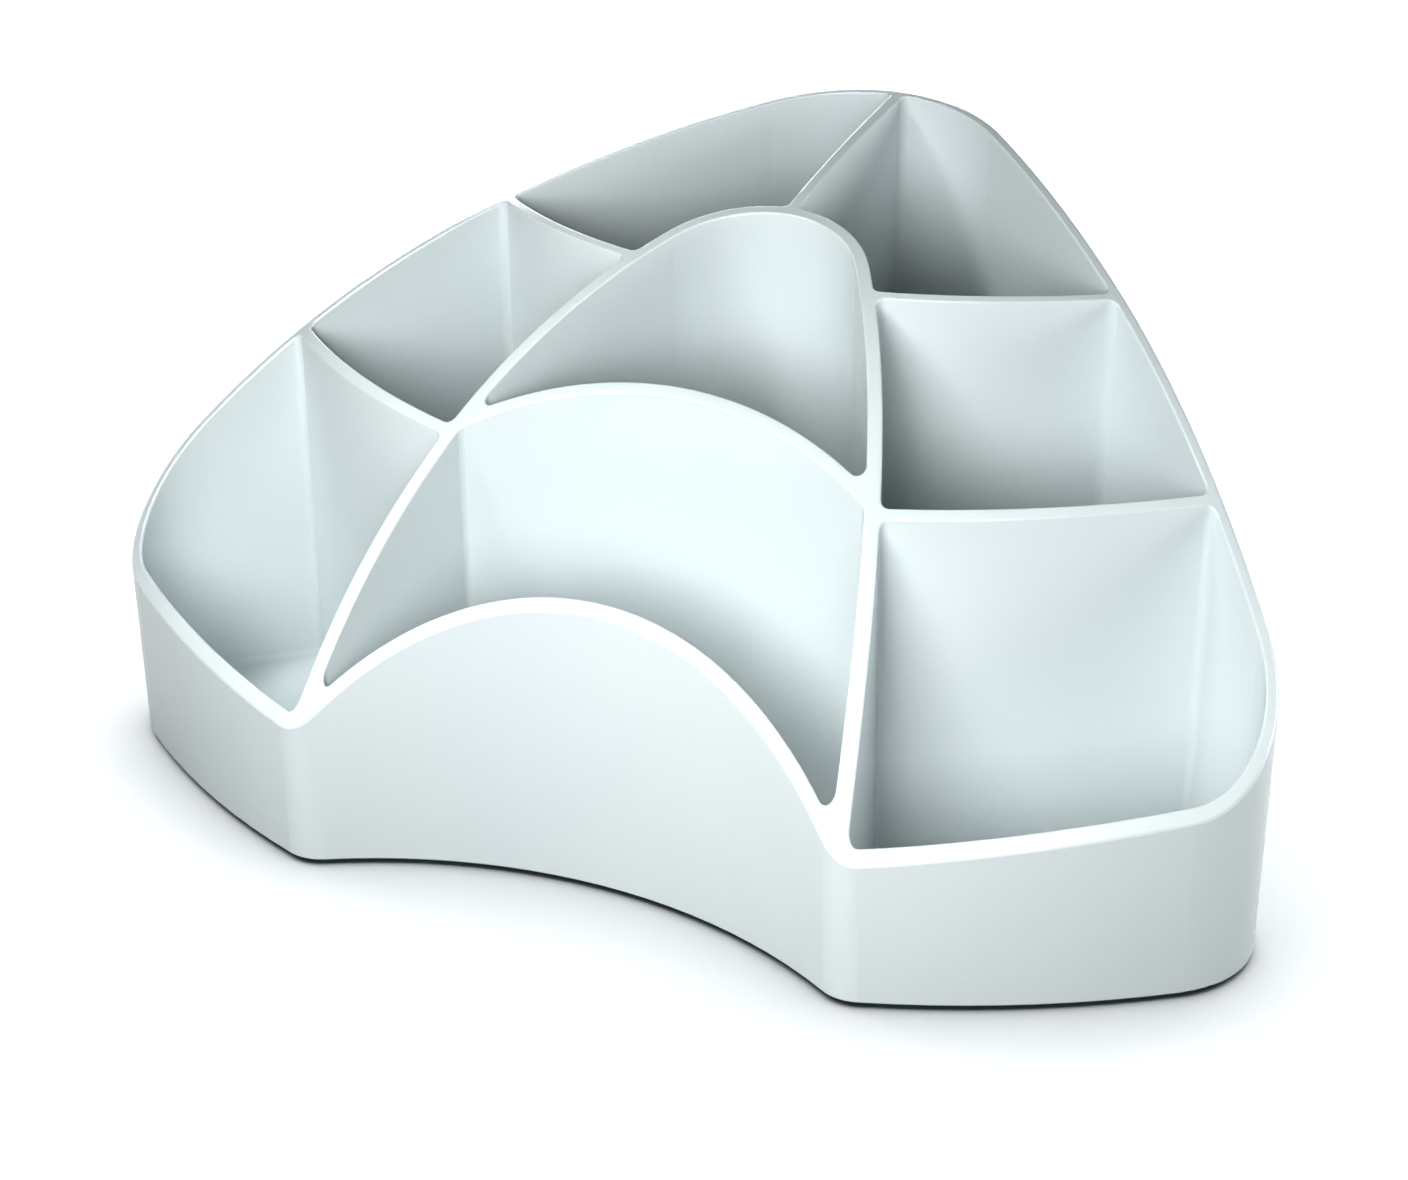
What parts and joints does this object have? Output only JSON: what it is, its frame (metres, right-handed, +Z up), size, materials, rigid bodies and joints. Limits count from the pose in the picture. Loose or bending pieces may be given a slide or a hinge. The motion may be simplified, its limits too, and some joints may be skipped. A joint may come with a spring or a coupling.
{
  "type": "desk organizer",
  "caption": "Low moulded desk organizer with a rounded triangular plan, a scooped front bay, a sloping domed rim and curved dividers that make open pockets for pens, cards and clips.",
  "frame": {"origin": "middle of the overall box in plan, on the plane that the feet stand on", "axes": "+Z up; -Y towards the scooped front bay; +Y towards the tall rounded rear corner; +X to the right as seen from the front"},
  "size_m": [0.2218, 0.1458, 0.1089],
  "materials": {
    "tray_plastic": "gloss",
    "foot_rubber": "matte"
  },
  "bodies": {
    "root": {"tray": "tray_plastic", "foot_front_right": "foot_rubber", "foot_front_left": "foot_rubber", "foot_side_right": "foot_rubber", "foot_side_left": "foot_rubber", "foot_rear": "foot_rubber"}
  },
  "joints": []
}
